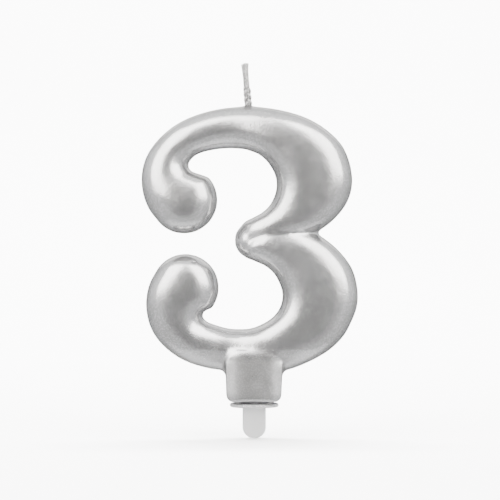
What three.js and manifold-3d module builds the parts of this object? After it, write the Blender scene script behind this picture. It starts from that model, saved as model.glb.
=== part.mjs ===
// Number birthday candle, the numeral 3: a white wax core under a silver over-dip coat, a three-strand
// braided wick set into a bore at the top, and a clear cake pick whose barbed peg pushes up into a socket
// in the foot. The candle pulls straight up off the peg.
//
// Millimetres, +Z up. The front faces -Y and +X is to its right. The origin is the centre of the underside
// of the pick's flange, which is the plane that lies on the icing.
//
// The numeral is two hooked strokes that run into each other at the middle, and a foot block under them.
// Each stroke is swept along a spine: a curve through stations that carries its own half-width.

import * as THREE from 'three';
import { mergeVertices } from 'three/addons/utils/BufferGeometryUtils.js';
import Module from 'manifold-3d';

const wasm = await Module();
wasm.setup();

// ---------------------------------------------------------------- driving dimensions

// Numeral: overall size and weight.
const NUMERAL_WIDTH = 61.8;
const NUMERAL_HEIGHT = 75.4;
const NUMERAL_LEFT_OF_PICK = 32.25; // from the pick's axis to the numeral's left edge
const STROKE = 8.0; // the stroke's typical half-width

// How far the spine keeps from the numeral's edges, in multiples of STROKE.
const LEFT_MARGIN = 0.85;
const RIGHT_MARGIN = 1.36;
const END_MARGIN = 0.735; // at the top and at the bottom

// Relief: a circular section, softly limited so that wide places are flatter than narrow ones.
const RELIEF_LIMIT = 8.0;
const RELIEF_SOFTNESS = 6.4;

// Foot block, which holds the socket.
const FOOT_WIDTH = 16.3;
const FOOT_DEPTH = 14.6;
const FOOT_DRAFT = 0.3; // each side narrows by this much to the bottom
const FOOT_BELOW_BOWL = 8.5; // how far the block stands below the lower bowl
const FOOT_IN_BOWL = 6.3; // how far it rises into the lower bowl
const FOOT_CORNER = 2.0;
const FOOT_TOP_CORNER = 3.4;
const FOOT_EDGE = 1.2; // rounding of its front and back edges
const WEB_REACH = 2.2; // fillets from the block's sides out to the bowl
const WEB_RISE = 0.73; // how high they meet the bowl, above its lowest point
const WEB_DEPTH = 6.0;

// Layers.
const COAT = 0.5; // thickness of the silver coat
const LAYER_GAP = 0.3; // between coat and core, so that they stay two solids

// Wick: a flat three-strand braid that opens into three straight strands above the wax.
const STRAND_RADIUS = 0.33;
const STRAND_GAP = 0.08;
const BRAID_ABOVE = 5.4; // the braided length above the numeral's top
const UNBRAIDED = 1.0; // over this length the braid changes into straight strands
const BRAID_SIDEWAYS = 1.08; // travel of a strand's centre from side to side, in strand spacings
const BRAID_FRONT_TO_BACK = 0.95; // and from front to back
const BRAID_TURN = 7; // the braid's pitch, in strand spacings
const WICK_ABOVE = 12.7; // the whole length above the numeral's top
const WICK_SET_IN = 8.0; // the length set into the wax
const WICK_FROM_PICK = 1.65; // where it leaves the wax, to the left of the pick's axis
const WICK_LEAN = 1.2; // how far the tip stands further left
const TIP_SPLAY = 0.35; // how far the cut ends spread
const WICK_CLEARANCE = 0.2;
const COLLAR_RISE = 0.6; // coat drawn up round the wick
const COLLAR_WIDTH = 0.5;

// Cake pick: flange, blade below it, standoff ribs and barbed peg above it.
const FLANGE_RADIUS = 7.0;
const FLANGE_THICKNESS = 1.1;
const STANDOFF = 0.5;
const SEAT_GAP = 0.1; // between the ribs and the coat that rests on them
const STANDOFF_WIDTH = 0.9;
const STANDOFF_REACH = 5.9; // from the axis to a rib's outer end
const BLADE_WIDTH = 6.7;
const BLADE_LENGTH = 9.0;
const BLADE_THICKNESS = 1.8;
const BLADE_EDGE = 0.5;
const PEG_WIDTH = 4.6;
const PEG_THICKNESS = 1.6;
const PEG_DEPTH = 3.2; // its cross rib, front to back
const PEG_LENGTH = 11.0; // inside the socket
const BARB = 0.4;
const BARBS = 4;
const PEG_CLEARANCE = 0.25;
const SOCKET_SPARE = 1.0; // depth of the socket beyond the peg's tip

// Fineness of the curved surfaces.
const OUTER_SKIN = { steps: 44, around: 20 };
const INNER_SKIN = { steps: 32, around: 16 };
const CAP_STEPS = 6;
const ARC_STEPS = 8;
const EDGE_STEPS = 3;
const RIM_STEPS = 6;
const TURNED_SIDES = 32;
const STRAND_STEPS = 64;

// ---------------------------------------------------------------- places worked out from them

const FOOT_BOTTOM = FLANGE_THICKNESS + STANDOFF + SEAT_GAP;
const NUMERAL_BOTTOM = FOOT_BOTTOM + FOOT_BELOW_BOWL;
const NUMERAL_TOP = NUMERAL_BOTTOM + NUMERAL_HEIGHT;
const SPINE_LEFT = LEFT_MARGIN * STROKE - NUMERAL_LEFT_OF_PICK;
const SPINE_RIGHT = NUMERAL_WIDTH - NUMERAL_LEFT_OF_PICK - RIGHT_MARGIN * STROKE;
const SPINE_BOTTOM = NUMERAL_BOTTOM + END_MARGIN * STROKE;
const SPINE_TOP = NUMERAL_TOP - END_MARGIN * STROKE;
const PEG_TOP = FOOT_BOTTOM + PEG_LENGTH;
const STRAND_SPACING = 2 * STRAND_RADIUS + STRAND_GAP;
const BRAID_HALF_WIDTH = BRAID_SIDEWAYS * STRAND_SPACING;
const BRAID_HALF_DEPTH = BRAID_FRONT_TO_BACK * STRAND_SPACING;
const BRAID_PITCH = BRAID_TURN * STRAND_SPACING;
const BORE_RADIUS = BRAID_HALF_WIDTH + STRAND_RADIUS + WICK_CLEARANCE;
const WICK_LOW = NUMERAL_TOP - WICK_SET_IN;

// Stations along each hook: share of the spine's width from the left, share of its height from the
// bottom, half-width as a multiple of STROKE, and the direction the stroke runs in, in degrees.
const UPPER_HOOK = [
  [0.122, 0.675, 1.20, 133],
  [0.052, 0.716, 1.08, 125],
  [0.012, 0.761, 0.94, 112],
  [0.000, 0.813, 0.84, 99],
  [0.023, 0.862, 0.79, 85],
  [0.079, 0.910, 0.76, 71],
  [0.178, 0.955, 0.75, 51],
  [0.311, 0.987, 0.71, 21],
  [0.464, 1.000, 0.76, -12],
  [0.611, 0.993, 0.93, -40],
  [0.735, 0.969, 1.10, -55],
  [0.832, 0.932, 1.23, -66],
  [0.909, 0.878, 1.33, -74],
  [0.954, 0.812, 1.36, -83],
  [0.966, 0.745, 1.35, -91],
  [0.944, 0.681, 1.29, -97],
  [0.891, 0.624, 1.20, -101],
  [0.819, 0.581, 1.10, -106],
  [0.726, 0.550, 0.96, -112],
  [0.637, 0.520, 0.82, -122],
  [0.561, 0.491, 0.61, -131],
];
const LOWER_HOOK = [
  [0.560, 0.498, 0.60, -42],
  [0.635, 0.495, 0.89, -47],
  [0.739, 0.475, 1.03, -53],
  [0.830, 0.445, 1.11, -60],
  [0.913, 0.397, 1.21, -68],
  [0.973, 0.337, 1.31, -76],
  [1.001, 0.274, 1.34, -84],
  [1.000, 0.212, 1.35, -92],
  [0.971, 0.156, 1.32, -99],
  [0.922, 0.104, 1.30, -106],
  [0.845, 0.059, 1.24, -114],
  [0.748, 0.024, 1.12, -125],
  [0.645, 0.003, 1.03, -136],
  [0.522, 0.000, 0.86, -153],
  [0.411, 0.005, 0.79, -170],
  [0.300, 0.018, 0.79, 170],
  [0.202, 0.041, 0.81, 150],
  [0.127, 0.078, 0.86, 130],
  [0.080, 0.125, 0.95, 108],
  [0.068, 0.181, 1.05, 88],
  [0.086, 0.235, 1.14, 69],
  [0.131, 0.282, 1.20, 52],
];

// ---------------------------------------------------------------- solids

function solid(geometry) {
  const bare = new THREE.BufferGeometry();
  const source = geometry.index ? geometry.toNonIndexed() : geometry;
  bare.setAttribute('position', source.getAttribute('position'));
  const merged = mergeVertices(bare, 1e-3);
  return new wasm.Manifold(
    new wasm.Mesh({
      numProp: 3,
      vertProperties: merged.getAttribute('position').array,
      triVerts: new Uint32Array(merged.index.array),
    }),
  );
}

function geometryOf(manifold) {
  const mesh = manifold.getMesh();
  const geometry = new THREE.BufferGeometry();
  geometry.setAttribute('position', new THREE.BufferAttribute(mesh.vertProperties, 3));
  geometry.setIndex(new THREE.BufferAttribute(mesh.triVerts, 1));
  geometry.computeVertexNormals();
  return geometry;
}

// A shape drawn in X and Z, extruded evenly to both sides of the XZ plane.
function plate(shape, depth, edge = 0) {
  const geometry = new THREE.ExtrudeGeometry(shape, {
    depth: depth - 2 * edge,
    curveSegments: ARC_STEPS,
    bevelEnabled: edge > 0,
    bevelThickness: edge,
    bevelSize: edge,
    bevelOffset: -edge,
    bevelSegments: EDGE_STEPS,
  });
  geometry.translate(0, 0, edge - depth / 2);
  geometry.rotateX(Math.PI / 2);
  return solid(geometry);
}

// An upright bar with a rectangular section, centred on the pick's axis.
function bar(width, depth, low, high) {
  const geometry = new THREE.BoxGeometry(width, depth, high - low);
  geometry.translate(0, 0, (low + high) / 2);
  return solid(geometry);
}

// A profile of radius and height, turned about an upright axis at x.
function turned(profile, x = 0) {
  const points = profile.map(([radius, height]) => new THREE.Vector2(radius, height));
  const geometry = new THREE.LatheGeometry(points, TURNED_SIDES);
  geometry.rotateX(Math.PI / 2);
  geometry.translate(x, 0, 0);
  return solid(geometry);
}

// ---------------------------------------------------------------- numeral

const relief = (height) => RELIEF_LIMIT * Math.tanh(height / RELIEF_SOFTNESS);

// Where each ring of a stroke stands: its centre, the direction it faces and its half-width, with a
// round cap at each end.
function ringsAlong(stations, steps) {
  const spine = new THREE.CatmullRomCurve3(
    stations.map(
      ([across, up, half]) =>
        new THREE.Vector3(
          THREE.MathUtils.lerp(SPINE_LEFT, SPINE_RIGHT, across),
          half * STROKE,
          THREE.MathUtils.lerp(SPINE_BOTTOM, SPINE_TOP, up),
        ),
    ),
  );
  const headings = new THREE.CatmullRomCurve3(
    stations.map(([, , , heading]) => {
      const turn = THREE.MathUtils.degToRad(heading);
      return new THREE.Vector3(Math.cos(turn), 0, Math.sin(turn));
    }),
  );
  const at = (t) => {
    const { x, y, z } = spine.getPoint(t);
    return { centre: new THREE.Vector3(x, 0, z), heading: headings.getPoint(t).normalize(), half: y };
  };
  const beyond = (end, share) => end.centre.clone().addScaledVector(end.heading, share * end.half);
  const cap = (end, sign) =>
    Array.from({ length: CAP_STEPS }, (_, i) => {
      const turn = ((i + 1) / (CAP_STEPS + 1)) * (Math.PI / 2);
      return { ...end, centre: beyond(end, sign * Math.sin(turn)), half: end.half * Math.cos(turn) };
    });
  const first = at(0);
  const last = at(1);
  const body = Array.from({ length: steps + 1 }, (_, i) => at(i / steps));
  return {
    rings: [...cap(first, -1).reverse(), ...body, ...cap(last, 1)],
    tips: [beyond(first, -1), beyond(last, 1)],
  };
}

// A point of a ring: turn goes round the section from the edge to the right of its heading, by way of
// the back.
function ringPoint({ centre, heading, half }, turn) {
  const side = half * Math.cos(turn);
  const lift = relief(half * Math.abs(Math.sin(turn))) * Math.sign(Math.sin(turn));
  return new THREE.Vector3(centre.x + heading.z * side, lift, centre.z - heading.x * side);
}

function moveInwards(geometry, distance) {
  geometry.computeVertexNormals();
  const { position, normal } = geometry.attributes;
  const point = new THREE.Vector3();
  const outwards = new THREE.Vector3();
  for (let i = 0; i < position.count; i++) {
    point.fromBufferAttribute(position, i);
    outwards.fromBufferAttribute(normal, i);
    point.addScaledVector(outwards, -distance);
    position.setXYZ(i, point.x, point.y, point.z);
  }
}

// A stroke as a closed skin that lies inset below the outer surface.
function stroke(stations, inset, { steps, around }) {
  const { rings, tips } = ringsAlong(stations, steps);
  const points = [tips[0]];
  for (const ring of rings) {
    for (let k = 0; k < around; k++) {
      points.push(ringPoint(ring, (k / around) * 2 * Math.PI));
    }
  }
  points.push(tips[1]);
  const vertex = (ring, k) => 1 + ring * around + (k % around);
  const lastRing = rings.length - 1;
  const lastPoint = points.length - 1;
  const index = [];
  for (let k = 0; k < around; k++) {
    index.push(0, vertex(0, k + 1), vertex(0, k));
    for (let ring = 0; ring < lastRing; ring++) {
      const [a, b] = [vertex(ring, k), vertex(ring, k + 1)];
      const [c, d] = [vertex(ring + 1, k), vertex(ring + 1, k + 1)];
      index.push(a, b, c, b, d, c);
    }
    index.push(lastPoint, vertex(lastRing, k), vertex(lastRing, k + 1));
  }
  const geometry = new THREE.BufferGeometry().setFromPoints(points);
  geometry.setIndex(index);
  moveInwards(geometry, inset);
  return solid(geometry);
}

// The foot block's front view: sides that narrow downwards, and rounded corners.
function footShape(inset) {
  const top = NUMERAL_BOTTOM + FOOT_IN_BOWL - inset;
  const bottom = FOOT_BOTTOM + inset;
  const wide = FOOT_WIDTH / 2 - inset;
  const narrow = wide - FOOT_DRAFT;
  const shape = new THREE.Shape();
  shape.moveTo(-narrow + FOOT_CORNER, bottom);
  shape.lineTo(narrow - FOOT_CORNER, bottom);
  shape.quadraticCurveTo(narrow, bottom, narrow, bottom + FOOT_CORNER);
  shape.lineTo(wide, top - FOOT_TOP_CORNER);
  shape.quadraticCurveTo(wide, top, wide - FOOT_TOP_CORNER, top);
  shape.lineTo(-wide + FOOT_TOP_CORNER, top);
  shape.quadraticCurveTo(-wide, top, -wide, top - FOOT_TOP_CORNER);
  shape.lineTo(-narrow, bottom + FOOT_CORNER);
  shape.quadraticCurveTo(-narrow, bottom, -narrow + FOOT_CORNER, bottom);
  return shape;
}

// The fillets from the block's sides out to the bowl: the two ends of one web that runs through the block.
function webShape(inset) {
  const side = FOOT_WIDTH / 2 - inset - FOOT_DRAFT / 2;
  const reach = side + WEB_REACH;
  const low = NUMERAL_BOTTOM + inset - WEB_REACH;
  const high = NUMERAL_BOTTOM + inset + WEB_RISE;
  const top = NUMERAL_BOTTOM + STROKE / 2;
  const shape = new THREE.Shape();
  shape.moveTo(-side, low);
  shape.lineTo(side, low);
  shape.quadraticCurveTo(side, high, reach, high);
  shape.lineTo(side, top);
  shape.lineTo(-side, top);
  shape.lineTo(-reach, high);
  shape.quadraticCurveTo(-side, high, -side, low);
  return shape;
}

// The whole numeral with its foot, inset below the outer surface.
function numeral(inset, skin) {
  return stroke(UPPER_HOOK, inset, skin)
    .add(stroke(LOWER_HOOK, inset, skin))
    .add(plate(footShape(inset), FOOT_DEPTH - 2 * inset, FOOT_EDGE))
    .add(plate(webShape(inset), WEB_DEPTH - 2 * inset));
}

// The hole for the peg, from below the foot.
function socket() {
  const width = PEG_WIDTH + 2 * BARB + 2 * PEG_CLEARANCE;
  const depth = PEG_DEPTH + 2 * PEG_CLEARANCE;
  return bar(width, depth, 0, PEG_TOP + SOCKET_SPARE);
}

// The hole for the wick, from above the collar down to the wick's lower end.
function wickBore() {
  const low = WICK_LOW - STRAND_RADIUS - WICK_CLEARANCE;
  const high = NUMERAL_TOP + WICK_ABOVE;
  return turned([[0, low], [BORE_RADIUS, low], [BORE_RADIUS, high], [0, high]], -WICK_FROM_PICK);
}

// Coat drawn up round the wick, as a low cone with a flat rim.
function collar() {
  const rim = BORE_RADIUS + COLLAR_WIDTH;
  const foot = rim + COLLAR_RISE;
  const low = NUMERAL_TOP - 2 * COAT;
  const high = NUMERAL_TOP + COLLAR_RISE;
  const root = BORE_RADIUS - WICK_CLEARANCE;
  return turned(
    [[root, low], [foot, low], [foot, NUMERAL_TOP - COAT], [rim, high], [root, high], [root, low]],
    -WICK_FROM_PICK,
  );
}

function coat() {
  return numeral(0, OUTER_SKIN)
    .add(collar())
    .subtract(numeral(COAT, INNER_SKIN))
    .subtract(wickBore())
    .subtract(socket());
}

function core() {
  return numeral(COAT + LAYER_GAP, INNER_SKIN).subtract(wickBore()).subtract(socket());
}

// ---------------------------------------------------------------- wick

const STRANDS = 3;

// The first strand's turn where the braid opens, chosen so that it meets its straight run.
const START_TURN = Math.PI / 6;

// The centre line of one strand. Each strand follows a figure of eight a third of a pitch behind the
// last; above the braid the three draw together into a bundle, and their cut ends spread.
class StrandLine extends THREE.Curve {
  constructor(strand) {
    super();
    this.phase = (strand / STRANDS) * 2 * Math.PI;
  }

  getPoint(t, target = new THREE.Vector3()) {
    const { lerp, smoothstep } = THREE.MathUtils;
    const above = t * (WICK_ABOVE + WICK_SET_IN) - WICK_SET_IN;
    const turn = ((above - BRAID_ABOVE) / BRAID_PITCH) * 2 * Math.PI + START_TURN + this.phase;
    const straight = smoothstep(above, BRAID_ABOVE - UNBRAIDED / 2, BRAID_ABOVE + UNBRAIDED / 2);
    const nearTip = Math.max(0, (above - BRAID_ABOVE) / (WICK_ABOVE - BRAID_ABOVE));
    const spread = STRAND_SPACING / Math.sqrt(3) + TIP_SPLAY * nearTip ** 4;
    const place = START_TURN - this.phase;
    const lean = (WICK_LEAN * Math.max(0, above)) / WICK_ABOVE;
    const sideways = lerp(BRAID_HALF_WIDTH * Math.sin(turn), spread * Math.cos(place), straight);
    const backwards = lerp(BRAID_HALF_DEPTH * Math.sin(2 * turn), spread * Math.sin(place), straight);
    return target.set(sideways - WICK_FROM_PICK - lean, backwards, NUMERAL_TOP + above);
  }
}

function wickStrand(strand) {
  const section = new THREE.Shape();
  section.absarc(0, 0, STRAND_RADIUS, 0, 2 * Math.PI);
  return solid(
    new THREE.ExtrudeGeometry(section, {
      curveSegments: ARC_STEPS,
      steps: STRAND_STEPS,
      extrudePath: new StrandLine(strand),
    }),
  );
}

// ---------------------------------------------------------------- cake pick

function flange() {
  const rim = FLANGE_THICKNESS / 2;
  const profile = [[0, 0]];
  for (let i = 0; i <= RIM_STEPS; i++) {
    const turn = (i / RIM_STEPS - 0.5) * Math.PI;
    profile.push([FLANGE_RADIUS - rim + rim * Math.cos(turn), rim + rim * Math.sin(turn)]);
  }
  profile.push([0, FLANGE_THICKNESS]);
  return turned(profile);
}

function blade() {
  const half = BLADE_WIDTH / 2;
  const shape = new THREE.Shape();
  shape.moveTo(half, FLANGE_THICKNESS / 2);
  shape.lineTo(-half, FLANGE_THICKNESS / 2);
  shape.absarc(0, half - BLADE_LENGTH, half, Math.PI, 2 * Math.PI);
  shape.lineTo(half, FLANGE_THICKNESS / 2);
  return plate(shape, BLADE_THICKNESS, BLADE_EDGE);
}

// Four low ribs that the foot stands on, on the diagonals, from the peg out towards the flange's rim.
function standoffs() {
  const low = FLANGE_THICKNESS / 2;
  const high = FLANGE_THICKNESS + STANDOFF;
  const [oneWay, otherWay] = [1, -1].map((side) => {
    const geometry = new THREE.BoxGeometry(2 * STANDOFF_REACH, STANDOFF_WIDTH, high - low);
    geometry.translate(0, 0, (low + high) / 2);
    geometry.rotateZ((side * Math.PI) / 4);
    return solid(geometry);
  });
  return oneWay.add(otherWay);
}

// The peg's flat, with barbs along both sides, and a plain cross rib through it.
function peg() {
  const half = PEG_WIDTH / 2;
  const spacing = PEG_LENGTH / (BARBS + 1);
  const shape = new THREE.Shape();
  shape.moveTo(-half, FLANGE_THICKNESS / 2);
  shape.lineTo(half, FLANGE_THICKNESS / 2);
  for (let i = 1; i <= BARBS; i++) {
    const height = FOOT_BOTTOM + i * spacing;
    shape.lineTo(half, height);
    shape.lineTo(half + BARB, height);
    shape.lineTo(half, height + spacing / 2);
  }
  shape.lineTo(half - PEG_CLEARANCE, PEG_TOP);
  shape.lineTo(-half + PEG_CLEARANCE, PEG_TOP);
  for (let i = BARBS; i >= 1; i--) {
    const height = FOOT_BOTTOM + i * spacing;
    shape.lineTo(-half, height + spacing / 2);
    shape.lineTo(-half - BARB, height);
    shape.lineTo(-half, height);
  }
  shape.lineTo(-half, FLANGE_THICKNESS / 2);
  const rib = bar(PEG_THICKNESS, PEG_DEPTH, FLANGE_THICKNESS / 2, PEG_TOP - PEG_THICKNESS / 2);
  return plate(shape, PEG_THICKNESS).add(rib);
}

function cakePick() {
  return flange().add(blade()).add(standoffs()).add(peg());
}

// ---------------------------------------------------------------- assembly

const SILVER = { color: 0xbdbdbb, roughness: 0.32, metalness: 0.85 };
const WHITE_WAX = { color: 0xf1ece0, roughness: 0.55, metalness: 0 };
const COTTON = { color: 0xb9b8b5, roughness: 0.7, metalness: 0.2 };
const CLEAR_PLASTIC = { color: 0xd8d9d8, roughness: 0.15, metalness: 0, transparent: true, opacity: 0.6 };

const candle = new THREE.Group();

function addPiece(name, manifold, finish) {
  const mesh = new THREE.Mesh(geometryOf(manifold), new THREE.MeshStandardMaterial(finish));
  mesh.name = name;
  candle.add(mesh);
}

addPiece('wax_core', core(), WHITE_WAX);
addPiece('silver_coat', coat(), SILVER);
for (let strand = 0; strand < STRANDS; strand++) {
  addPiece(`wick_strand_${strand + 1}`, wickStrand(strand), COTTON);
}
addPiece('cake_pick', cakePick(), CLEAR_PLASTIC);

export default candle;
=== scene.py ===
"""The looks of a silver numeral candle, 3, on its clear cake pick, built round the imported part.

Lengths are in metres, +Z is up and the front faces -Y. The origin is the centre of the underside
of the pick's flange.
"""

import math

import bmesh
import bpy
import numpy as np
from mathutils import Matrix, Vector, noise


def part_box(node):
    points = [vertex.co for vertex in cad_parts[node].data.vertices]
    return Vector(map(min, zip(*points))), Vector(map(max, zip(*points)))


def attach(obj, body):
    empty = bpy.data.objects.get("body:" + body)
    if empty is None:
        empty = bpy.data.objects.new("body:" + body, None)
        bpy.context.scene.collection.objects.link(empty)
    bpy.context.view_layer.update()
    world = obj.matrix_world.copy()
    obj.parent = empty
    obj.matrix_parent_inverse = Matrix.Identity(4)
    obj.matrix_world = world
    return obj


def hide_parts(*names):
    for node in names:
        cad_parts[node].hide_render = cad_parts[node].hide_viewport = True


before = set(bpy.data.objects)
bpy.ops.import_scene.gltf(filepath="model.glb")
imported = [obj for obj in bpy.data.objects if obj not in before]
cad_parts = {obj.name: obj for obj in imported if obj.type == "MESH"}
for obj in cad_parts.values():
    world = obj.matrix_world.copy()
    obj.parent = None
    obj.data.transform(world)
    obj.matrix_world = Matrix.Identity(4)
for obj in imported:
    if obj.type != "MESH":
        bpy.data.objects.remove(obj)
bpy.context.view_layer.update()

MM = 0.001
RNG = np.random.default_rng(3)
QUARTER = math.pi / 2
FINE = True

# ---------------------------------------------------------------- sizes, from the frame

COAT_LOW, COAT_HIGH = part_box("silver_coat")
PICK_LOW, PICK_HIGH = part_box("cake_pick")

STROKE = 8.0 * MM  # typical half-width of the numeral's stroke
RELIEF_LIMIT = 7.9 * MM
RELIEF_KNEE = 4  # how suddenly the relief goes from round to flat

# From the coat's box to the ends of the two spines, in multiples of STROKE.
LEFT_MARGIN = 0.85
RIGHT_MARGIN = 1.36
END_MARGIN = 0.735

FOOT_BELOW_BOWL = 8.5 * MM
FOOT_IN_BOWL = 6.3 * MM
FOOT_HEIGHT = FOOT_BELOW_BOWL + FOOT_IN_BOWL
FOOT_HALF_WIDTH = 8.15 * MM
FOOT_HALF_DEPTH = 7.3 * MM
FOOT_DRAFT = 0.3 * MM
FOOT_FRONT_DRAFT = 0.2 * MM
FOOT_CORNER = 2.0 * MM
FOOT_TOP_CORNER = 3.6 * MM
FOOT_EDGE = 1.0 * MM
FOOT_SIDE_EDGE = 3.2 * MM
FOOT_CROWN = 0.55 * MM

WEB_REACH = 2.6 * MM
WEB_RISE = 0.35  # how far the web goes up into the bowl, as a share of its reach
WEB_HALF_DEPTH = 3.2 * MM
WEB_EDGES = ((1.0, 0.54 * MM), (0.93, 0.21 * MM), (0.75, 0.0))  # share of the half-depth, inset

NOTCH = np.array((17.3, 0.0, 50.1)) * MM
NOTCH_RADII = np.array((1.1, 3.0, 1.6)) * MM

COLLAR_RISE = 0.6 * MM
SKIN = 0.45 * MM
SOCKET_HALF_WIDTH = 2.95 * MM
SOCKET_HALF_DEPTH = 1.85 * MM
MOUTH_DEPTH = 0.6 * MM

FOOT_BOTTOM = COAT_LOW.z
NUMERAL_BOTTOM = FOOT_BOTTOM + FOOT_BELOW_BOWL
NUMERAL_TOP = COAT_HIGH.z - COLLAR_RISE
SPINE_LEFT = COAT_LOW.x + LEFT_MARGIN * STROKE
SPINE_RIGHT = COAT_HIGH.x - RIGHT_MARGIN * STROKE
SPINE_BOTTOM = NUMERAL_BOTTOM + END_MARGIN * STROKE
SPINE_TOP = NUMERAL_TOP - END_MARGIN * STROKE

# How finely shapes are divided, and how far the skin is smoothed.
STROKE_STEPS = 260 if FINE else 130
STROKE_AROUND = 96 if FINE else 48
VOXEL = (0.4 if FINE else 0.55) * MM
SMOOTHING = 17 if FINE else 9
BLENDING = 28 if FINE else 15
CAP_STEPS = 24
CORNER_STEPS = 10
EDGE_STEPS = 12
LUMP_STEPS = 24

# Stations along each hook: share of the spine's width, share of its height, half-width as a
# multiple of STROKE, and the direction the stroke runs in, in degrees.
UPPER_HOOK = [
    [0.122, 0.675, 1.20, 133],
    [0.052, 0.716, 1.08, 125],
    [0.012, 0.761, 0.94, 112],
    [0.000, 0.813, 0.84, 99],
    [0.023, 0.862, 0.79, 85],
    [0.079, 0.910, 0.76, 71],
    [0.178, 0.955, 0.75, 51],
    [0.311, 0.987, 0.71, 21],
    [0.464, 1.000, 0.76, -12],
    [0.611, 0.993, 0.93, -40],
    [0.735, 0.969, 1.10, -55],
    [0.832, 0.932, 1.23, -66],
    [0.909, 0.878, 1.33, -74],
    [0.954, 0.812, 1.36, -83],
    [0.966, 0.745, 1.35, -91],
    [0.944, 0.681, 1.29, -97],
    [0.891, 0.624, 1.20, -101],
    [0.819, 0.581, 1.10, -106],
    [0.726, 0.550, 0.96, -112],
    [0.637, 0.520, 0.82, -122],
    [0.561, 0.491, 0.61, -131],
]
LOWER_HOOK = [
    [0.560, 0.498, 0.60, -42],
    [0.635, 0.495, 0.89, -47],
    [0.739, 0.475, 1.03, -53],
    [0.830, 0.445, 1.11, -60],
    [0.913, 0.397, 1.21, -68],
    [0.973, 0.337, 1.31, -76],
    [1.001, 0.274, 1.34, -84],
    [1.000, 0.212, 1.35, -92],
    [0.971, 0.156, 1.32, -99],
    [0.922, 0.104, 1.30, -106],
    [0.845, 0.059, 1.24, -114],
    [0.748, 0.024, 1.12, -125],
    [0.645, 0.003, 1.03, -136],
    [0.522, 0.000, 0.86, -153],
    [0.411, 0.005, 0.79, -170],
    [0.300, 0.018, 0.79, 170],
    [0.202, 0.041, 0.81, 150],
    [0.127, 0.078, 0.86, 130],
    [0.080, 0.125, 0.95, 108],
    [0.068, 0.181, 1.05, 88],
    [0.086, 0.235, 1.14, 69],
    [0.131, 0.282, 1.20, 52],
]

# ---------------------------------------------------------------- mesh helpers


def mesh_object(name, vertices, faces):
    mesh = bpy.data.meshes.new(name)
    mesh.from_pydata([tuple(v) for v in vertices], [], [tuple(f) for f in faces])
    mesh.validate()
    made = bpy.data.objects.new(name, mesh)
    bpy.context.scene.collection.objects.link(made)
    recalculate_normals(mesh)
    smooth_shade(mesh)
    return made


def smooth_shade(mesh):
    """Smooth shading on every face."""
    for face in mesh.polygons:
        face.use_smooth = True


def recalculate_normals(mesh):
    work = bmesh.new()
    work.from_mesh(mesh)
    bmesh.ops.recalc_face_normals(work, faces=work.faces)
    work.to_mesh(mesh)
    work.free()


def loft(name, rings):
    """A skin through rings of equally many points each, closed by a fan at either end."""
    rings = [np.asarray(ring, float) for ring in rings]
    around = len(rings[0])
    vertices = list(np.concatenate(rings))
    faces = []
    for r in range(len(rings) - 1):
        for k in range(around):
            a = r * around + k
            b = r * around + (k + 1) % around
            faces.append((a, b, b + around, a + around))
    for start in (0, (len(rings) - 1) * around):
        vertices.append(np.mean(vertices[start : start + around], axis=0))
        tip = len(vertices) - 1
        faces += [(start + k, start + (k + 1) % around, tip) for k in range(around)]
    return mesh_object(name, vertices, faces)


def join(name, parts):
    """One mesh object from several, which are used up."""
    work = bmesh.new()
    for part in parts:
        work.from_mesh(part.data)
    mesh = bpy.data.meshes.new(name)
    work.to_mesh(mesh)
    work.free()
    for part in parts:
        bpy.data.objects.remove(part)
    made = bpy.data.objects.new(name, mesh)
    bpy.context.scene.collection.objects.link(made)
    return made


def apply_modifiers(piece):
    """Gives a piece the mesh that its modifiers make."""
    graph = bpy.context.evaluated_depsgraph_get()
    mesh = bpy.data.meshes.new_from_object(piece.evaluated_get(graph))
    piece.modifiers.clear()
    piece.data = mesh
    smooth_shade(mesh)


def modifier(piece, kind, **settings):
    """Adds a modifier with its settings."""
    made = piece.modifiers.new(kind.lower(), kind)
    for key, value in settings.items():
        setattr(made, key, value)


def coordinates(mesh):
    flat = np.empty(len(mesh.vertices) * 3)
    mesh.vertices.foreach_get("co", flat)
    return flat.reshape(-1, 3)


def normals(mesh):
    flat = np.empty(len(mesh.vertices) * 3)
    mesh.vertices.foreach_get("normal", flat)
    return flat.reshape(-1, 3)


def move_to(mesh, places):
    mesh.vertices.foreach_set("co", np.asarray(places, float).ravel())
    mesh.update()


# ---------------------------------------------------------------- numeral skin


def along(stations, count):
    """Points between stations, by the uniform Catmull-Rom rule."""
    stations = np.asarray(stations, float)
    padded = np.vstack([2 * stations[0] - stations[1], stations, 2 * stations[-1] - stations[-2]])
    t = np.linspace(0, len(stations) - 1, count)
    i = np.minimum(t.astype(int), len(stations) - 2)
    u = (t - i)[:, None]
    p0, p1, p2, p3 = (padded[i + k] for k in range(4))
    slope_1 = (p2 - p0) / 2
    slope_2 = (p3 - p1) / 2
    return (
        (2 * u**3 - 3 * u**2 + 1) * p1
        + (u**3 - 2 * u**2 + u) * slope_1
        + (3 * u**2 - 2 * u**3) * p2
        + (u**3 - u**2) * slope_2
    )


def relief(height):
    """A section's height: round where the stroke is narrow, held near a limit where it is wide."""
    return height / (1 + (height / RELIEF_LIMIT) ** RELIEF_KNEE) ** (1 / RELIEF_KNEE)


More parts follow.
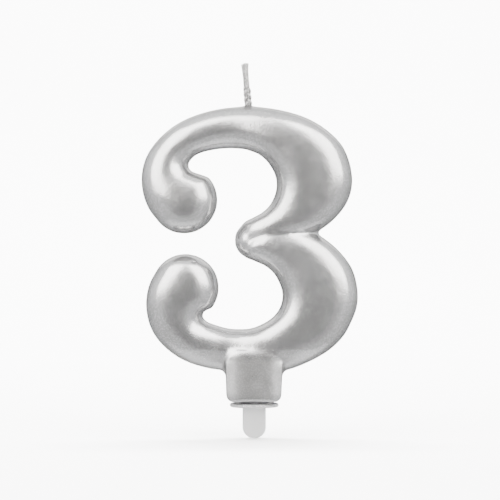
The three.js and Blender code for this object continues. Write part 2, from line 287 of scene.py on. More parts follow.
def stroke(name, stations):
    """One hook of the numeral: a crowned tube along its stations, round at both ends."""
    places = [
        (
            SPINE_LEFT + across * (SPINE_RIGHT - SPINE_LEFT),
            SPINE_BOTTOM + up * (SPINE_TOP - SPINE_BOTTOM),
            half * STROKE,
            math.cos(math.radians(heading)),
            math.sin(math.radians(heading)),
        )
        for across, up, half, heading in stations
    ]
    turn = np.linspace(0, 2 * math.pi, STROKE_AROUND, endpoint=False)

    def ring(x, z, half, along_x, along_z):
        length = math.hypot(along_x, along_z)
        side = half * np.cos(turn)
        lift = relief(half * np.abs(np.sin(turn))) * np.sign(np.sin(turn))
        return np.stack([x + along_z / length * side, lift, z - along_x / length * side], axis=1)

    def cap(row, sign):
        """The rings of a round end, from the stroke's last ring outwards."""
        x, z, half, along_x, along_z = row
        length = math.hypot(along_x, along_z)
        rings = []
        for i in range(1, CAP_STEPS):
            slope = i / CAP_STEPS * QUARTER
            reach = sign * half * math.sin(slope) / length
            half_here = half * math.cos(slope)
            rings.append(ring(x + reach * along_x, z + reach * along_z, half_here, along_x, along_z))
        return rings

    rows = along(places, STROKE_STEPS)
    body = [ring(*row) for row in rows]
    return loft(name, cap(rows[0], -1)[::-1] + body + cap(rows[-1], 1))


def corner(centre, radius, start, count=CORNER_STEPS):
    """A quarter of a circle, from a starting angle onwards."""
    turn = np.linspace(start, start + QUARTER, count)
    return [(centre[0] + radius * math.cos(a), centre[1] + radius * math.sin(a)) for a in turn]


def foot_outline(side_inset, end_inset):
    """The foot's front view, drawn in from its sides and from its top and bottom."""
    top = NUMERAL_BOTTOM + FOOT_IN_BOWL - end_inset
    bottom = FOOT_BOTTOM + end_inset
    wide = FOOT_HALF_WIDTH - side_inset
    narrow = wide - FOOT_DRAFT
    low = FOOT_CORNER - end_inset
    high = FOOT_TOP_CORNER - end_inset
    return (
        corner((wide - high, top - high), high, 0)
        + corner((high - wide, top - high), high, QUARTER)
        + corner((low - narrow, bottom + low), low, 2 * QUARTER)
        + corner((narrow - low, bottom + low), low, 3 * QUARTER)
    )


def edge_turns(steps):
    """Side and angle of each section of a plate with rounded edges, from its front to its back."""
    there = [(-1, i / steps * QUARTER) for i in range(steps + 1)]
    return there + [(1, turn) for _, turn in reversed(there)]


def foot():
    """The foot block: its outline, swept from front to back, well rounded at its sides."""
    rings = []
    for side, turn in edge_turns(EDGE_STEPS):
        away = 1 - math.sin(turn)
        half = FOOT_HALF_DEPTH - FOOT_EDGE * (1 - math.cos(turn))
        outline = foot_outline(FOOT_SIDE_EDGE * away, FOOT_EDGE * away)
        lean = FOOT_FRONT_DRAFT / FOOT_HEIGHT
        rings.append([(x, side * (half - lean * (z - FOOT_BOTTOM)), z) for x, z in outline])
    return loft("foot", rings)


def web(side):
    """The fillet between the foot's side and the bowl."""
    wall = side * (FOOT_HALF_WIDTH - FOOT_DRAFT)
    reach = wall + side * WEB_REACH
    low = NUMERAL_BOTTOM - WEB_REACH
    high = NUMERAL_BOTTOM + WEB_RISE * WEB_REACH
    outline = []
    for i in range(EDGE_STEPS + 1):
        turn = i / EDGE_STEPS * QUARTER
        x = reach - side * WEB_REACH * math.cos(turn)
        outline.append((x, high - (high - low) * (1 - math.sin(turn))))
    inside = 0.5 * wall
    outline += [
        (reach, NUMERAL_BOTTOM + STROKE / 4),
        (inside, NUMERAL_BOTTOM + STROKE / 2),
        (inside, low),
    ]
    sections = [(-share, inset) for share, inset in WEB_EDGES]
    sections += [(share, inset) for share, inset in reversed(WEB_EDGES)]
    rings = [
        [(x - side * inset, share * WEB_HALF_DEPTH, z + inset) for x, z in outline]
        for share, inset in sections
    ]
    return loft("web", rings)


def notch_fill():
    """A small lump that rounds the notch where the two bowls meet on the right."""
    turn = np.linspace(0, 2 * math.pi, LUMP_STEPS, endpoint=False)
    rings = []
    for i in range(1, LUMP_STEPS):
        slope = i / LUMP_STEPS * math.pi
        wide = math.sin(slope)
        ring = np.stack([wide * np.cos(turn), wide * np.sin(turn), 0 * turn - math.cos(slope)], axis=1)
        rings.append(NOTCH + ring * NOTCH_RADII)
    return loft("notch_fill", rings)


def bump(place, centre, reach):
    """1 at a centre in the XZ plane, falling to 0 over a reach across and a reach up."""
    across = (place[:, 0] - centre[0]) / reach[0]
    up = (place[:, 2] - centre[1]) / reach[1]
    return np.exp(-(across**2 + up**2))


def noise_at(places, scale, offset=0.0):
    """Smooth noise of about -1 to 1 at each place. Another offset gives another pattern."""
    shift = Vector((offset, 0.5 * offset, -offset))
    return np.array([noise.noise(Vector(p) * scale + shift) for p in places])


# Unevenness all over: height, scale and offset of the noise.
UNEVEN = ((0.035 * MM, 140.0, 0.0), (0.006 * MM, 420.0, 7.0))

# The reworked patch beside the wick, and the pit in the lower ball end: centre and reach in XZ.
REWORK = ((5.5 * MM, 83.2 * MM), (7.5 * MM, 1.7 * MM))
REWORK_HEIGHT = 0.05 * MM
REWORK_NOISE = 700.0
REWORK_FLATTEN = (1, 1, 1.4)  # closer together along Z than across
REWORK_BACK = 2 * MM
PIT = ((-17.0 * MM, 41.4 * MM), (0.55 * MM, 0.35 * MM))
PIT_DEPTH = 0.25 * MM

COLLAR_REACH = 1.5 * MM
COLLAR_PUSH = 0.75 * COLLAR_RISE
COLLAR_FROM_TOP = 3 * MM
CROWN_FADE = 3 * MM  # how far below the foot's top its crown is complete


def hand_finish(mesh):
    """Uneven dipping, the foot's crown, the rework by the wick, a pit and the wick's collar."""
    place = coordinates(mesh)
    outwards = normals(mesh)
    push = np.zeros(len(place))
    for height, scale, offset in UNEVEN:
        push += height * noise_at(place, scale, offset)

    low_down = np.clip((FOOT_BOTTOM + FOOT_HEIGHT - place[:, 2]) / CROWN_FADE, 0, 1)
    from_middle = np.clip(np.abs(place[:, 0]) / FOOT_HALF_WIDTH, 0, 1)
    facing = np.abs(outwards[:, 1]) ** 4
    push -= FOOT_CROWN * low_down * from_middle**2 * facing

    reworked = bump(place, *REWORK) * (place[:, 1] < REWORK_BACK)
    push += REWORK_HEIGHT * reworked * noise_at(place * REWORK_FLATTEN, REWORK_NOISE, 3.0)

    push -= PIT_DEPTH * bump(place, *PIT) * (place[:, 1] < 0)

    from_wick = np.hypot(place[:, 0] - WICK_EXIT.x, place[:, 1] - WICK_EXIT.y)
    near_top = place[:, 2] > NUMERAL_TOP - COLLAR_FROM_TOP
    push += COLLAR_PUSH * np.exp(-((from_wick / COLLAR_REACH) ** 2)) * near_top
    move_to(mesh, place + outwards * push[:, None])


def fit_into(mesh, low, high):
    """Brings a mesh exactly into a box."""
    place = coordinates(mesh)
    lo, hi = place.min(0), place.max(0)
    low, high = np.array(low), np.array(high)
    move_to(mesh, low + (place - lo) / (hi - lo) * (high - low))


def open_socket(mesh):
    """Cuts the socket's mouth out of the foot's underside."""
    work = bmesh.new()
    work.from_mesh(mesh)
    level = FOOT_BOTTOM + MOUTH_DEPTH
    for axis, reach in ((0, SOCKET_HALF_WIDTH), (1, SOCKET_HALF_DEPTH)):
        for sign in (-1, 1):
            under = [f for f in work.faces if f.calc_center_median().z < level]
            edges = {e for f in under for e in f.edges}
            corners = {v for f in under for v in f.verts}
            normal = Vector((0, 0, 0))
            normal[axis] = sign
            bmesh.ops.bisect_plane(
                work,
                geom=list(under) + list(edges) + list(corners),
                plane_co=normal * reach,
                plane_no=normal,
            )
    gone = []
    for face in work.faces:
        centre = face.calc_center_median()
        if centre.z < level and abs(centre.x) < SOCKET_HALF_WIDTH and abs(centre.y) < SOCKET_HALF_DEPTH:
            gone.append(face)
    bmesh.ops.delete(work, geom=gone, context="FACES")
    work.to_mesh(mesh)
    work.free()


# Where the skin is blended once more: strength, then centre and reach in XZ.
BLENDS = (
    (1.0, (-7.0 * MM, 14.0 * MM), (4.0 * MM, 4.5 * MM)),  # the foot's upper left, into the bowl
    (0.4, (2.0 * MM, 16.0 * MM), (8.0 * MM, 1.5 * MM)),  # the foot's top edge
    (0.5, (9.0 * MM, 50.3 * MM), (9.0 * MM, 1.0 * MM)),  # the crease between the bowls
    (1.0, (17.8 * MM, 50.2 * MM), (2.6 * MM, 3.0 * MM)),  # the notch on the right
    (1.0, (0.0, 9.0 * MM), (5.0 * MM, 5.0 * MM)),  # the foot's flat front
)
LEAST_BLEND = 0.02


def soften(piece):
    """Smooths chosen places more than the rest, as thick dipping does."""
    place = coordinates(piece.data)
    weight = np.max([strength * bump(place, *where) for strength, *where in BLENDS], axis=0)
    group = piece.vertex_groups.new(name="blend")
    for index in np.flatnonzero(weight > LEAST_BLEND):
        group.add([int(index)], float(weight[index]), "REPLACE")
    modifier(piece, "SMOOTH", factor=0.5, iterations=BLENDING, vertex_group="blend")
    apply_modifiers(piece)
    piece.vertex_groups.clear()


def silver_skin():
    """The coat: strokes, foot, webs and notch fused and smoothed, then made a thin closed skin."""
    parts = [
        stroke("upper_hook", UPPER_HOOK),
        stroke("lower_hook", LOWER_HOOK),
        foot(),
        web(-1),
        web(1),
        notch_fill(),
    ]
    piece = join("silver_skin", parts)
    modifier(piece, "REMESH", mode="VOXEL", voxel_size=VOXEL, adaptivity=0.0)
    modifier(piece, "SMOOTH", factor=0.5, iterations=SMOOTHING)
    apply_modifiers(piece)
    soften(piece)
    hand_finish(piece.data)
    fit_into(piece.data, COAT_LOW, COAT_HIGH)
    open_socket(piece.data)
    modifier(piece, "SOLIDIFY", thickness=SKIN, offset=-1.0)
    apply_modifiers(piece)
    return piece


# ---------------------------------------------------------------- wick

WICK_ABOVE = 12.7 * MM
WICK_SET_IN = 8.0 * MM
WICK_LEAN = 1.1 * MM
WICK_EXIT = Vector((-1.65 * MM, 0, 0))
STRANDS = 3
STRAND_RADIUS = 0.39 * MM
STRAND_GAP = 0.02 * MM
BRAID_ABOVE = 5.4 * MM
UNBRAIDED = 1.0 * MM
BRAID_PITCH = 5.2 * MM
BRAID_HALF_WIDTH = 0.70 * MM
BRAID_HALF_DEPTH = 0.64 * MM
START_TURN = math.pi / 6
TIP_SPLAY = 0.42 * MM
SPLAY_POWER = 5  # how late the tip opens

FIRST_CUT = 0.25 * MM
CUT_STEP = 0.2 * MM
SWAY = 0.02 * MM
SWAY_NOISE = 900.0
UNTWISTED_SWELL = 0.04
THICK_AND_THIN = 0.06
THICK_AND_THIN_NOISE = 700.0
YARN_STEPS = 420 if FINE else 180
YARN_AROUND = 24
LOBES = 5
LOBE_DEPTH = 0.5
LOBE_PITCH = 3.4 * MM
LOBE_MIDDLE = 0.6  # about the mean of a lobe's wave

HAIRS = 16
HAIR_STEPS = 7
HAIR_AROUND = 6
HAIR_THICK = 0.06 * MM
HAIR_THIN = 0.03 * MM
HAIR_ROOT = 0.2 * MM  # how far below the cut a fibre starts
HAIR_START = (0.05 * MM, 0.24 * MM)  # off the strand's middle
HAIR_BEND = (0.05 * MM, 0.30 * MM)
SHORTEST_RISE = 0.25 * MM
EXTRA_RISE = 0.2 * MM


def strand_line(strand, above):
    """Centre line of a strand at heights above the numeral's top: braided, then straight."""
    phase = strand / STRANDS * 2 * math.pi
    turn = (above - BRAID_ABOVE) / BRAID_PITCH * 2 * math.pi + START_TURN + phase
    share = np.clip((above - BRAID_ABOVE + UNBRAIDED / 2) / UNBRAIDED, 0, 1)
    straight = share * share * (3 - 2 * share)
    near_tip = np.clip((above - BRAID_ABOVE) / (WICK_ABOVE - BRAID_ABOVE), 0, None)
    spread = (2 * STRAND_RADIUS + STRAND_GAP) / math.sqrt(3) + TIP_SPLAY * near_tip**SPLAY_POWER
    place = START_TURN - phase
    x = BRAID_HALF_WIDTH * np.sin(turn) * (1 - straight) + spread * math.cos(place) * straight
    y = BRAID_HALF_DEPTH * np.sin(2 * turn) * (1 - straight) + spread * math.sin(place) * straight
    lean = WICK_LEAN * np.clip(above, 0, None) / WICK_ABOVE
    return np.stack([x + WICK_EXIT.x - lean, y, NUMERAL_TOP + above], axis=1)


def tube(name, line, radii, around, lobes=0, lobe_depth=0.0, lobe_pitch=1.0):
    """A tube along a line that runs mostly upwards, with a twisted, lobed section."""
    tangent = np.gradient(line, axis=0)
    tangent /= np.linalg.norm(tangent, axis=1)[:, None]
    across = np.cross(tangent, (0.0, 1.0, 0.0))
    across /= np.linalg.norm(across, axis=1)[:, None]
    other = np.cross(tangent, across)
    travelled = np.concatenate([[0], np.cumsum(np.linalg.norm(np.diff(line, axis=0), axis=1))])
    turn = np.linspace(0, 2 * math.pi, around, endpoint=False)
    rings = []
    for point, u, v, radius, far in zip(line, across, other, radii, travelled):
        twist = 2 * math.pi * far / lobe_pitch
        wave = np.abs(np.cos(lobes * (turn - twist) / 2))
        reach = radius * (1 + lobe_depth * (wave - LOBE_MIDDLE))
        rings.append(point + np.outer(reach * np.cos(turn), u) + np.outer(reach * np.sin(turn), v))
    return loft(name, rings)


def frayed_hair(tip, cut_back):
    """One fibre that stands out of a strand's cut end."""
    angle = RNG.uniform(0, 2 * math.pi)
    out = np.array([math.cos(angle), math.sin(angle), 0.0])
    start = tip + out * RNG.uniform(*HAIR_START) - (0, 0, HAIR_ROOT)
    rise = RNG.uniform(SHORTEST_RISE, EXTRA_RISE + cut_back)
    t = np.linspace(0, 1, HAIR_STEPS)[:, None]
    line = start + t * (0, 0, rise) + t**2 * out * RNG.uniform(*HAIR_BEND)
    return tube("hair", line, np.linspace(HAIR_THICK, HAIR_THIN, HAIR_STEPS), HAIR_AROUND)


def wick_strand(strand):
    """One strand of the wick: a twisted yarn, a little uneven, with a frayed end."""
    cut_back = FIRST_CUT + CUT_STEP * strand
    above = np.linspace(-WICK_SET_IN, WICK_ABOVE - cut_back, YARN_STEPS)
    line = strand_line(strand, above)
    sideways = noise_at(line, SWAY_NOISE, 5.0 * strand)
    forwards = noise_at(line, SWAY_NOISE, 31.0)
    line += SWAY * np.stack([sideways, forwards, 0 * above], axis=1)
    swell = UNTWISTED_SWELL * np.clip((above - BRAID_ABOVE) / UNBRAIDED, 0, 1)
    uneven = THICK_AND_THIN * noise_at(line, THICK_AND_THIN_NOISE, 17.0 + strand)
    radii = STRAND_RADIUS * (1 + swell + uneven)
    parts = [tube("yarn", line, radii, YARN_AROUND, LOBES, LOBE_DEPTH, LOBE_PITCH)]
    parts += [frayed_hair(line[-1], cut_back) for _ in range(HAIRS)]
    return join(f"wick_yarn_{strand + 1}", parts)


# ---------------------------------------------------------------- cake pick

FLANGE_RADIUS = PICK_HIGH.x
FLANGE_THICKNESS = 1.1 * MM
FLANGE_MIDDLE = FLANGE_THICKNESS / 2
STANDOFF = 0.5 * MM
STANDOFF_HALF_WIDTH = 0.45 * MM
STANDOFF_REACH = 5.9 * MM
BLADE_HALF_WIDTH = 3.35 * MM
BLADE_HALF_THICKNESS = 0.9 * MM
BLADE_EDGE = 0.5 * MM
BLADE_BEVEL = 0.4 * MM
PEG_HALF_WIDTH = 2.3 * MM
PEG_HALF_THICKNESS = 0.8 * MM
PEG_HALF_DEPTH = 1.6 * MM
PEG_TAPER = 0.25 * MM
PEG_LENGTH = PICK_HIGH.z - FOOT_BOTTOM
BARB = 0.4 * MM
BARBS = 4
BARB_LEDGE = 0.05 * MM
BAR_EDGE = 0.12 * MM
BAR_CHAMFER = 0.3  # where a bar's edge turns, as a share of BAR_EDGE
SHARP_ANGLE = math.radians(35)

FLANGE_AROUND = 144 if FINE else 48
FACE_STEPS = 7
RIM_STEPS = 11
BLADE_EDGE_STEPS = 5
BLADE_TIP_STEPS = 48
BAR_CORNER_STEPS = 4


def flange():
    """A round plate with a half-round rim."""
    rim = FLANGE_THICKNESS / 2
    flat = FLANGE_RADIUS - rim
    profile = [(flat * i / FACE_STEPS, 0.0) for i in range(1, FACE_STEPS)]
    for i in range(RIM_STEPS + 1):
        roll = (i / RIM_STEPS - 0.5) * math.pi
        profile.append((flat + rim * math.cos(roll), rim + rim * math.sin(roll)))
    profile += [(flat * i / FACE_STEPS, FLANGE_THICKNESS) for i in range(FACE_STEPS - 1, 0, -1)]
    turn = np.linspace(0, 2 * math.pi, FLANGE_AROUND, endpoint=False)
    rings = [np.stack([r * np.cos(turn), r * np.sin(turn), 0 * turn + z], axis=1) for r, z in profile]
    return loft("flange", rings)


def blade():
    """The flat blade: a plate with a half-round tip and a bevelled border."""
    tip = PICK_LOW.z + BLADE_HALF_WIDTH

    def outline(inset):
        half = BLADE_HALF_WIDTH - inset
        turn = np.linspace(math.pi, 2 * math.pi, BLADE_TIP_STEPS)
        lower = [(half * math.cos(a), tip + half * math.sin(a)) for a in turn]
        return [(half, FLANGE_MIDDLE), (-half, FLANGE_MIDDLE)] + lower

    rings = []
    for side, turn in edge_turns(BLADE_EDGE_STEPS):
        y = side * (BLADE_HALF_THICKNESS - BLADE_BEVEL * (1 - math.cos(turn)))
        rings.append([(x, y, z) for x, z in outline(BLADE_EDGE * (1 - math.sin(turn)))])
    return loft("blade", rings)


def bar_ring(half_width, half_depth, z):
    """A level rectangle with rounded corners."""
    w = half_width - BAR_EDGE
    d = half_depth - BAR_EDGE
    centres = ((w, d), (-w, d), (-w, -d), (w, -d))
    outline = []
    for i, centre in enumerate(centres):
        outline += corner(centre, BAR_EDGE, i * QUARTER, BAR_CORNER_STEPS)
    return [(x, y, z) for x, y in outline]


def rounded_bar(name, half_width, half_depth, low, high):
    """An upright bar with rounded edges."""
    insets = ((0, BAR_EDGE), (BAR_CHAMFER * BAR_EDGE, BAR_CHAMFER * BAR_EDGE), (BAR_EDGE, 0))
    levels = [(low + rise, inset) for rise, inset in insets]
    levels += [(high - rise, inset) for rise, inset in reversed(insets)]
    return loft(name, [bar_ring(half_width - inset, half_depth - inset, z) for z, inset in levels])


def standoff(side):
    """One of two crossed ribs that keep the candle off the flange."""
    top = FLANGE_THICKNESS + STANDOFF
    bar = rounded_bar("standoff", STANDOFF_REACH, STANDOFF_HALF_WIDTH, FLANGE_MIDDLE, top)
    turn = side * math.pi / 4
    place = coordinates(bar.data)
    x = place[:, 0] * math.cos(turn) - place[:, 1] * math.sin(turn)
    y = place[:, 0] * math.sin(turn) + place[:, 1] * math.cos(turn)
    move_to(bar.data, np.stack([x, y, place[:, 2]], axis=1))
    return bar


def peg_flat():
    """The peg's flat with barbs along both sides."""
    spacing = PEG_LENGTH / (BARBS + 1)
    levels = [(FLANGE_MIDDLE, PEG_HALF_WIDTH)]
    for i in range(1, BARBS + 1):
        height = FOOT_BOTTOM + i * spacing
        levels += [
            (height, PEG_HALF_WIDTH),
            (height + BARB_LEDGE, PEG_HALF_WIDTH + BARB),
            (height + spacing / 2, PEG_HALF_WIDTH),
        ]
    end = PEG_HALF_WIDTH - PEG_TAPER
    levels += [(PICK_HIGH.z - BAR_EDGE, end), (PICK_HIGH.z, end - BAR_EDGE)]
    return loft("peg_flat", [bar_ring(half, PEG_HALF_THICKNESS, z) for z, half in levels])


def peg_rib():
    """The rib across the peg's flat that stiffens it."""
    top = PICK_HIGH.z - PEG_HALF_THICKNESS
    return rounded_bar("peg_rib", PEG_HALF_THICKNESS, PEG_HALF_DEPTH, FLANGE_MIDDLE, top)


def clear_pick():
    """The whole pick as one closed moulding, shaded smooth up to its sharp edges."""
    piece, *parts = flange(), blade(), standoff(1), standoff(-1), peg_flat(), peg_rib()
    for part in parts:
        modifier(piece, "BOOLEAN", operation="UNION", solver="MANIFOLD", object=part)
        apply_modifiers(piece)
        bpy.data.objects.remove(part)
    piece.name = "clear_pick"
    piece.data.set_sharp_from_angle(angle=SHARP_ANGLE)
    return piece


# ---------------------------------------------------------------- materials


class Nodes:
    """Short calls for building a material's node tree."""

    def __init__(self, name):
        self.material = bpy.data.materials.new(name)
        self.material.use_nodes = True
        self.tree = self.material.node_tree
        self.shader = self.tree.nodes["Principled BSDF"]
        self.where = self.add("ShaderNodeTexCoord").outputs["Object"]

    def add(self, kind, settings=None, **inputs):
        node = self.tree.nodes.new(kind)
        for key, value in (settings or {}).items():
            setattr(node, key, value)
        for key, value in inputs.items():
            self.put(node.inputs[key.replace("_", " ")], value)
        return node

    def put(self, socket, value):
        if isinstance(value, bpy.types.NodeSocket):
            self.tree.links.new(value, socket)
        else:
            socket.default_value = value

    def set(self, **inputs):
        for key, value in inputs.items():
            self.put(self.shader.inputs[key.replace("_", " ")], value)

    def noise(self, scale, detail=2.0, roughness=0.5, where=None):
        node = self.add("ShaderNodeTexNoise", Vector=where or self.where, Scale=scale, Detail=detail)
        self.put(node.inputs["Roughness"], roughness)
        return node.outputs["Fac"]

    def cells(self, scale):
        return self.add("ShaderNodeTexVoronoi", Vector=self.where, Scale=scale).outputs["Distance"]

    def stretched(self, upwards):
        """Coordinates that draw a pattern out along Z."""
        node = self.add("ShaderNodeMapping", Vector=self.where)
        node.inputs["Scale"].default_value = (1.0, 1.0, upwards)
        return node.outputs["Vector"]

    def height(self):
        return self.add("ShaderNodeSeparateXYZ", Vector=self.where).outputs["Z"]

    def span(self, value, low, high, start=0.0, end=1.0):
        """From low to high while a value goes from start to end."""
        node = self.add("ShaderNodeMapRange", Value=value)
        for key, number in (("From Min", start), ("From Max", end), ("To Min", low), ("To Max", high)):
            node.inputs[key].default_value = number
        return node.outputs["Result"]

    def ramp(self, value, *stops):
        """A colour that follows a value through stops of position and colour."""
        node = self.add("ShaderNodeValToRGB", Fac=value)
        elements = node.color_ramp.elements
        while len(elements) < len(stops):
            elements.new(0.5)
        for element, (position, colour) in zip(elements, stops):
            element.position = position
            element.color = (*colour, 1.0)
        return node.outputs["Color"]

    def multiply_colours(self, a, b, factor):
        node = self.add("ShaderNodeMix", {"data_type": "RGBA", "blend_type": "MULTIPLY"})
        node.inputs["Factor"].default_value = factor
        self.put(node.inputs["A"], a)
        self.put(node.inputs["B"], b)
        return node.outputs["Result"]

    def math(self, operation, a, b):
        node = self.add("ShaderNodeMath", {"operation": operation})
        self.put(node.inputs[0], a)
        self.put(node.inputs[1], b)
        return node.outputs["Value"]

    def patch(self, centre, reach):
        """1 at a centre, falling to 0 at a reach along each axis."""
        away = self.add("ShaderNodeVectorMath", {"operation": "SUBTRACT"})
        self.put(away.inputs[0], self.where)
        self.put(away.inputs[1], centre)
        scaled = self.add("ShaderNodeVectorMath", {"operation": "DIVIDE"})
        self.put(scaled.inputs[0], away.outputs["Vector"])
        self.put(scaled.inputs[1], reach)
        length = self.add("ShaderNodeVectorMath", {"operation": "LENGTH"})
        self.put(length.inputs[0], scaled.outputs["Vector"])
        return self.span(length.outputs["Value"], 1.0, 0.0)

    def raise_by(self, height, distance, strength, normal=None):
        """A bumped normal, on top of another one if it is given."""
        node = self.add("ShaderNodeBump", Height=height, Distance=distance, Strength=strength)
        if normal is not None:
            self.put(node.inputs["Normal"], normal)
        return node.outputs["Normal"]


# The two reworked patches of the silver: centre and reach.
ABOVE_FOOT = ((-3.0 * MM, -7.0 * MM, 20.0 * MM), (8.0 * MM, 6.0 * MM, 3.4 * MM))
BY_WICK = ((5.0 * MM, -4.0 * MM, 82.5 * MM), (13.0 * MM, 7.0 * MM, 4.0 * MM))

# The foot is a little duller than the numeral, fading out between two heights.
FOOT_HAZE = 0.07
HAZE_FADE = (13.0 * MM, 19.0 * MM)


def silver_material():
    """Satin silver lacquer over wax: fine flake grain, orange peel, cloudy tone."""
    n = Nodes("silver_lacquer")
    clouds = n.noise(scale=120.0, detail=3.0)
    tone = n.ramp(clouds, (0.3, (0.50, 0.497, 0.493)), (0.7, (0.58, 0.58, 0.582)))
    flakes = n.cells(scale=2000.0)
    sparkle = n.ramp(flakes, (0.05, (1.0, 1.0, 1.0)), (0.6, (0.55, 0.55, 0.55)))
    peel = n.raise_by(n.noise(scale=600.0), distance=0.04 * MM, strength=0.5)
    ripple = n.noise(scale=2100.0, roughness=0.6, where=n.stretched(0.45))
    worked = n.math("MAXIMUM", n.patch(*ABOVE_FOOT), n.patch(*BY_WICK))
    ripple_here = n.math("MULTIPLY", ripple, worked)
    rippled = n.raise_by(ripple_here, distance=0.10 * MM, strength=0.7, normal=peel)
    grain = n.noise(scale=2000.0, roughness=0.6)
    haze = n.span(n.height(), FOOT_HAZE, 0.0, *HAZE_FADE)
    n.set(
        Base_Color=n.multiply_colours(tone, sparkle, factor=0.5),
        Metallic=0.95,
        Roughness=n.math("ADD", n.span(n.noise(scale=260.0), 0.17, 0.29), haze),
        Specular_Tint=(0.45, 0.45, 0.45, 1.0),
        Normal=n.raise_by(grain, distance=0.03 * MM, strength=0.5, normal=rippled),
    )
    return n.material


def wax_material():
    """White paraffin: waxy, slightly translucent, with a faint mottle."""
    n = Nodes("white_wax")
    mottle = n.noise(scale=300.0, detail=4.0)
    pores = n.noise(scale=1500.0, detail=3.0)
    n.set(
        Base_Color=n.ramp(mottle, (0.35, (0.86, 0.84, 0.78)), (0.65, (0.93, 0.92, 0.88))),
        Roughness=n.span(n.noise(scale=900.0), 0.42, 0.6),
        Subsurface_Weight=0.35,
        Subsurface_Scale=4 * MM,
        Normal=n.raise_by(pores, distance=0.05 * MM, strength=0.4),
    )
    return n.material


def cotton_material():
    """Cotton yarn primed with wax and a breath of silver: fine fibres along the strand."""
    n = Nodes("primed_cotton")
    fibres = n.noise(scale=5200.0, detail=4.0, roughness=0.6, where=n.stretched(0.22))
    n.set(
        Base_Color=n.ramp(fibres, (0.40, (0.05, 0.049, 0.048)), (0.60, (0.46, 0.456, 0.45))),
        Metallic=0.6,
        Roughness=n.span(n.noise(scale=1200.0), 0.38, 0.6),
        Normal=n.raise_by(fibres, distance=0.05 * MM, strength=0.8),
    )
    return n.material


# The plastic changes from frosted to glossy between two heights, at the flange's underside.
FROST_FADE = (-0.2 * MM, 0.1 * MM)


def plastic_material():
    """Clear polystyrene: glossy above, frosted below the flange."""
    n = Nodes("clear_polystyrene")
    height = n.height()
    frost = n.span(height, 0.45, 0.06, *FROST_FADE)
    uneven = n.span(n.noise(scale=500.0, detail=3.0), 0.0, 0.08)
    tone = n.noise(scale=200.0)
    n.set(
        Base_Color=n.ramp(tone, (0.3, (0.50, 0.503, 0.507)), (0.7, (0.56, 0.562, 0.565))),
        Roughness=n.math("ADD", frost, uneven),
        Transmission_Weight=n.span(height, 0.5, 0.7, *FROST_FADE),
        IOR=1.5,
        Normal=n.raise_by(n.noise(scale=900.0), distance=0.02 * MM, strength=0.3),
    )
    return n.material


def floor_material():
    """Matt pale paper, a little cloudy."""
    n = Nodes("studio_paper")
    clouds = n.noise(scale=9.0, detail=4.0)
    n.set(
        Base_Color=n.ramp(clouds, (0.3, (0.90, 0.90, 0.90)), (0.7, (0.92, 0.92, 0.92))),
        Roughness=0.9,
    )
    return n.material


def dress(piece, material):
    piece.data.materials.clear()
    piece.data.materials.append(material)
    for face in piece.data.polygons:
        face.material_index = 0


# ---------------------------------------------------------------- stage


SWEEP_BELOW_PICK = 0.2 * MM
SWEEP_HALF_WIDTH = 5.0
SWEEP_FRONT = 5.0
SWEEP_BACK = 0.9
SWEEP_HEIGHT = 1.6
SWEEP_BEND = 0.45
SWEEP_STEPS = 16


def sweep():
    """A pale floor that curves up behind the object. Sizes in metres."""
    low = PICK_LOW.z - SWEEP_BELOW_PICK
    flat_end = SWEEP_BACK - SWEEP_BEND
    profile = [(-SWEEP_FRONT, low), (flat_end, low)]
    for i in range(1, SWEEP_STEPS + 1):
        turn = i / SWEEP_STEPS * QUARTER
        profile.append((flat_end + SWEEP_BEND * math.sin(turn), low + SWEEP_BEND * (1 - math.cos(turn))))
    profile.append((SWEEP_BACK, low + SWEEP_HEIGHT))
    vertices = [(x, y, z) for y, z in profile for x in (-SWEEP_HALF_WIDTH, SWEEP_HALF_WIDTH)]
    faces = [(2 * i, 2 * i + 1, 2 * i + 3, 2 * i + 2) for i in range(len(profile) - 1)]
    floor = mesh_object("studio_sweep", vertices, faces)
    dress(floor, floor_material())
    floor.visible_glossy = False
    floor.visible_transmission = False


KEY_COLOUR = (1.0, 0.975, 0.945)
WASH_COLOUR = (1.0, 1.0, 1.0)
ROOM_COLOUR = (0.985, 0.985, 1.0, 1.0)
ROOM_STRENGTH = 4.0

# Brightness of the room along one axis of the direction, from its negative end at 0 to its positive
# end at 1: along Y from the photographer's side to behind the object, along Z from below to overhead.
ROOM_DEPTH = (
    (0.0, 0.05),
    (0.018, 0.08),
    (0.05, 0.34),
    (0.09, 0.56),
    (0.4, 0.56),
    (0.6, 0.5),
    (0.92, 0.34),
    (1.0, 0.12),
)
ROOM_HEIGHT = (
    (0.0, 1.0),
    (0.07, 0.9),
    (0.14, 0.44),
    (0.42, 0.50),
    (0.56, 0.85),
    (0.8, 1.0),
    (1.0, 1.0),
)


def softbox(name, place, aim, size, radiance, seen=True):
    """A rectangular area light, given by how bright its face is. An unseen one isn't reflected."""
    width, height = size
    lamp = bpy.data.lights.new(name, "AREA")
    lamp.shape = "RECTANGLE"
    lamp.size = width
    lamp.size_y = height
    lamp.energy = radiance * math.pi * width * height
    lamp.color = KEY_COLOUR if seen else WASH_COLOUR
    made = bpy.data.objects.new(name, lamp)
    made.location = place
    made.rotation_euler = (Vector(aim) - Vector(place)).to_track_quat("-Z", "Y").to_euler()
    made.visible_glossy = seen
    bpy.context.scene.collection.objects.link(made)


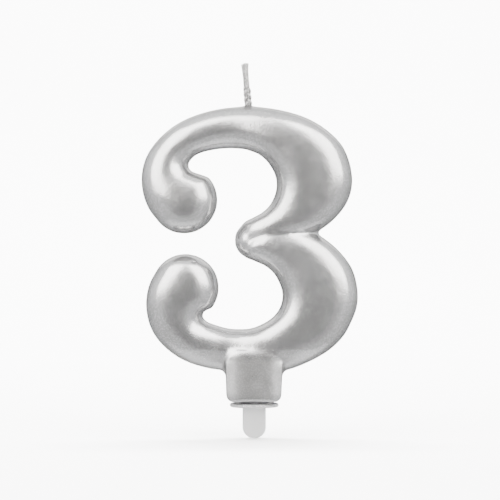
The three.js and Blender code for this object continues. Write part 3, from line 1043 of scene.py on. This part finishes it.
def studio_air():
    """The room as the object reflects it: dim where the photographer stands and straight behind, pale
    to the sides, overhead and straight below, and darker in between below the horizon."""
    world = bpy.data.worlds.new("studio")
    world.use_nodes = True
    tree = world.node_tree
    background = tree.nodes["Background"]
    background.inputs["Color"].default_value = ROOM_COLOUR
    where = tree.nodes.new("ShaderNodeTexCoord")
    split = tree.nodes.new("ShaderNodeSeparateXYZ")
    tree.links.new(where.outputs["Generated"], split.inputs[0])

    def level(axis, stops):
        """A brightness that follows one axis of the direction."""
        share = tree.nodes.new("ShaderNodeMapRange")
        share.inputs["From Min"].default_value = -1.0
        tree.links.new(split.outputs[axis], share.inputs["Value"])
        ramp = tree.nodes.new("ShaderNodeValToRGB")
        elements = ramp.color_ramp.elements
        while len(elements) < len(stops):
            elements.new(0.5)
        for element, (position, amount) in zip(elements, stops):
            element.position = position
            element.color = (amount, amount, amount, 1.0)
        tree.links.new(share.outputs["Result"], ramp.inputs["Fac"])
        return ramp.outputs["Color"]

    def product(a, b):
        node = tree.nodes.new("ShaderNodeMath")
        node.operation = "MULTIPLY"
        for socket, value in zip(node.inputs, (a, b)):
            if isinstance(value, bpy.types.NodeSocket):
                tree.links.new(value, socket)
            else:
                socket.default_value = value
        return node.outputs["Value"]

    brightness = product(level("Y", ROOM_DEPTH), level("Z", ROOM_HEIGHT))
    tree.links.new(product(brightness, ROOM_STRENGTH), background.inputs["Strength"])
    bpy.context.scene.world = world


def lights():
    """Two large softboxes in front, a fill behind and two washes for the floor. Sizes in metres."""
    middle = (0, 0, 0.045)
    for name, side in (("key_left", -1), ("key_right", 1)):
        softbox(name, (side * 0.38, -0.50, 0.43), middle, size=(0.60, 0.74), radiance=10.0)
    softbox("rear_fill", (0, 0.60, 0.45), middle, size=(0.9, 0.4), radiance=2.5)
    softbox("floor_wash", (0, -0.05, 0.9), (0, 0, 0), size=(0.9, 0.6), radiance=12.0, seen=False)
    backdrop = (0, 0.9, 0.15)
    softbox("backdrop_wash", (0, 0.30, 0.95), backdrop, size=(0.9, 0.3), radiance=90.0, seen=False)
    studio_air()


LENS_MM = 151.2
SENSOR_WIDTH_MM = 36.0
NEAREST_SEEN = 10 * MM
CAMERA_PLACE = (-1.2 * MM, -600 * MM, 44.8 * MM)


def camera():
    """The photograph's view: level, from straight in front, with a long lens."""
    lens = bpy.data.cameras.new("photograph")
    lens.lens = LENS_MM
    lens.sensor_width = SENSOR_WIDTH_MM
    lens.clip_start = NEAREST_SEEN
    made = bpy.data.objects.new("photograph", lens)
    made.location = CAMERA_PLACE
    made.rotation_euler = (QUARTER, 0, 0)
    bpy.context.scene.collection.objects.link(made)
    bpy.context.scene.camera = made


# ---------------------------------------------------------------- the object

skin = silver_skin()
dress(skin, silver_material())
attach(skin, "candle")
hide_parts("silver_coat")

cotton = cotton_material()
for index in range(STRANDS):
    yarn = wick_strand(index)
    dress(yarn, cotton)
    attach(yarn, "candle")
    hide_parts(f"wick_strand_{index + 1}")

pick = clear_pick()
dress(pick, plastic_material())
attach(pick, "pick")
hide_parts("cake_pick")

dress(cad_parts["wax_core"], wax_material())

sweep()
lights()
camera()
